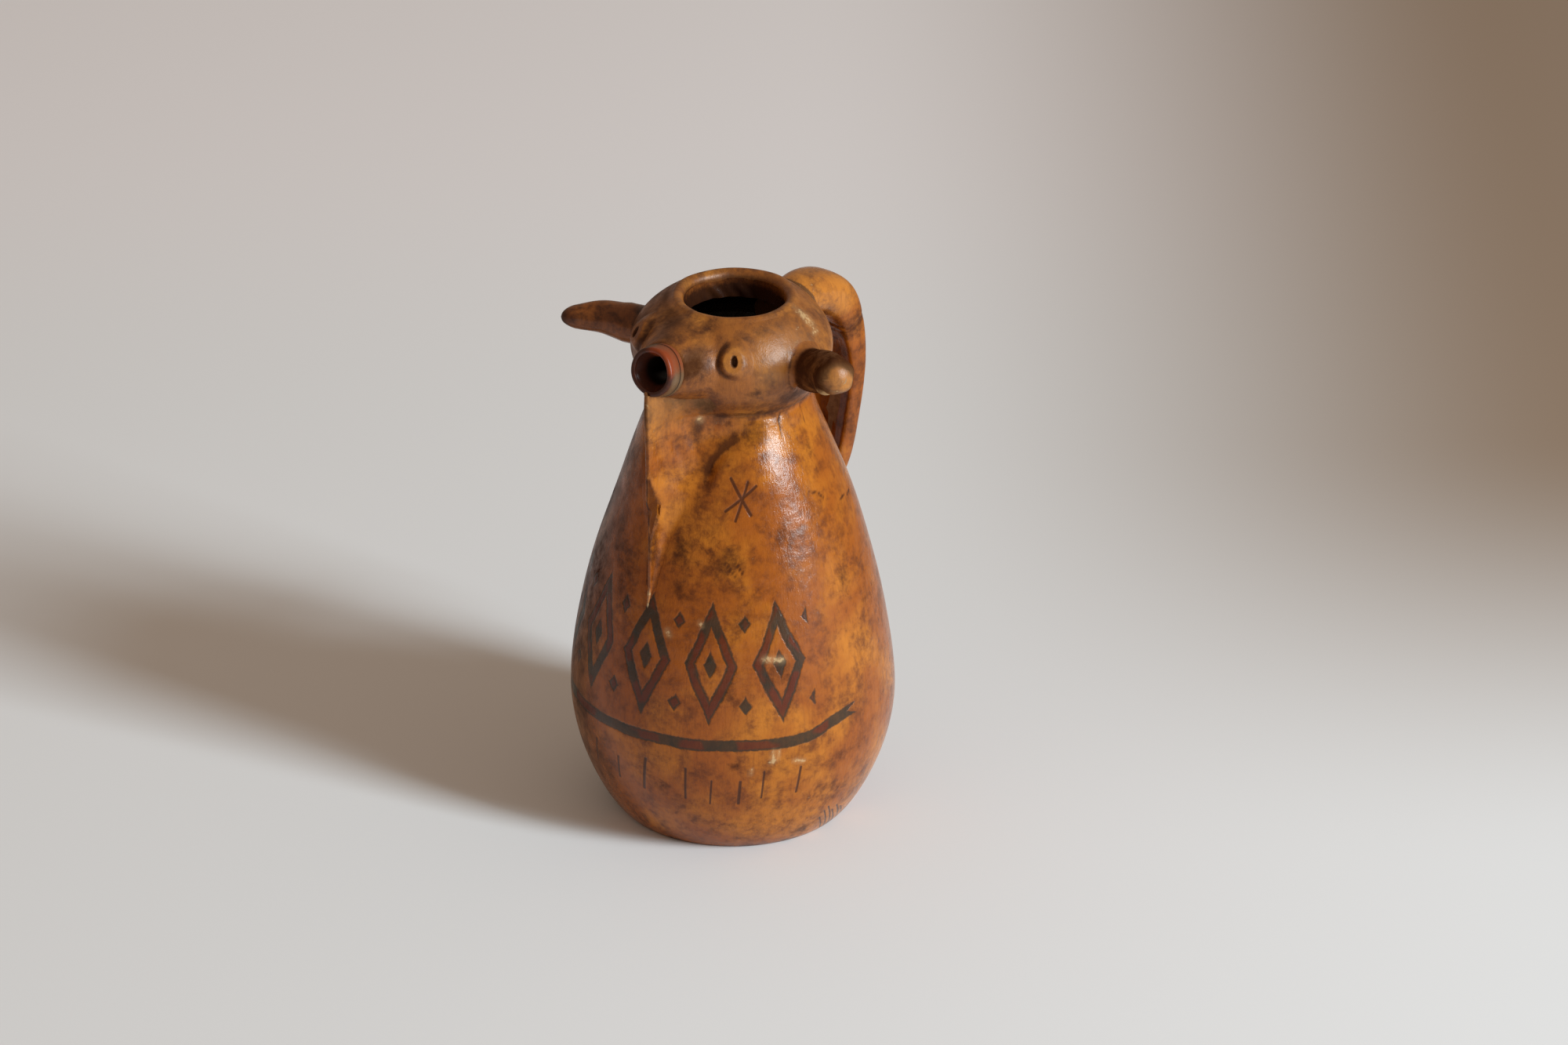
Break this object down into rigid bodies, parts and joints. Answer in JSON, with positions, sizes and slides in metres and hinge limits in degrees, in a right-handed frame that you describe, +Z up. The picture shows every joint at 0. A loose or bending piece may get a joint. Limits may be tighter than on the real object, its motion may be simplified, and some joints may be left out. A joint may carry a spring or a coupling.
{
  "type": "leather pitcher",
  "caption": "Bull-shaped leather pitcher: pear-shaped vessel, round head open at the crown, pouring spout through the muzzle, horns, throat fold and a broad back handle.",
  "frame": {"origin": "middle of the sole, on the face that the pitcher stands on", "axes": "+Z up along the vessel's axis; -Y towards the bull's muzzle and spout, +Y towards the handle; +X towards the bull's left horn"},
  "size_m": [0.1676, 0.1744, 0.2715],
  "materials": {
    "body_leather": "waxed tan leather, mottled with dark brown, satin gloss",
    "head_leather": "waxed tan leather, greyer and darker, satin gloss",
    "dark_leather": "dark brown waxed leather, satin",
    "raw_leather": "undyed thick leather, matt",
    "stained_wood": "red-brown stain, polished by use",
    "raw_wood": "bare whittled wood",
    "pitch": "black brewer's pitch, glossy"
  },
  "bodies": {
    "root": {"body_skin": "body_leather", "base_sole": "raw_leather", "pitch_lining": "pitch", "head_skin": "head_leather", "mouth_collar": "dark_leather", "spout": "stained_wood", "eye_left": "head_leather", "eye_right": "head_leather", "horn_left_skin": "dark_leather", "horn_left_core": "raw_wood", "horn_right_skin": "dark_leather", "horn_right_core": "raw_wood", "dewlap": "body_leather", "front_welt": "dark_leather", "handle_skin": "body_leather", "handle_core": "raw_leather"}
  },
  "joints": []
}
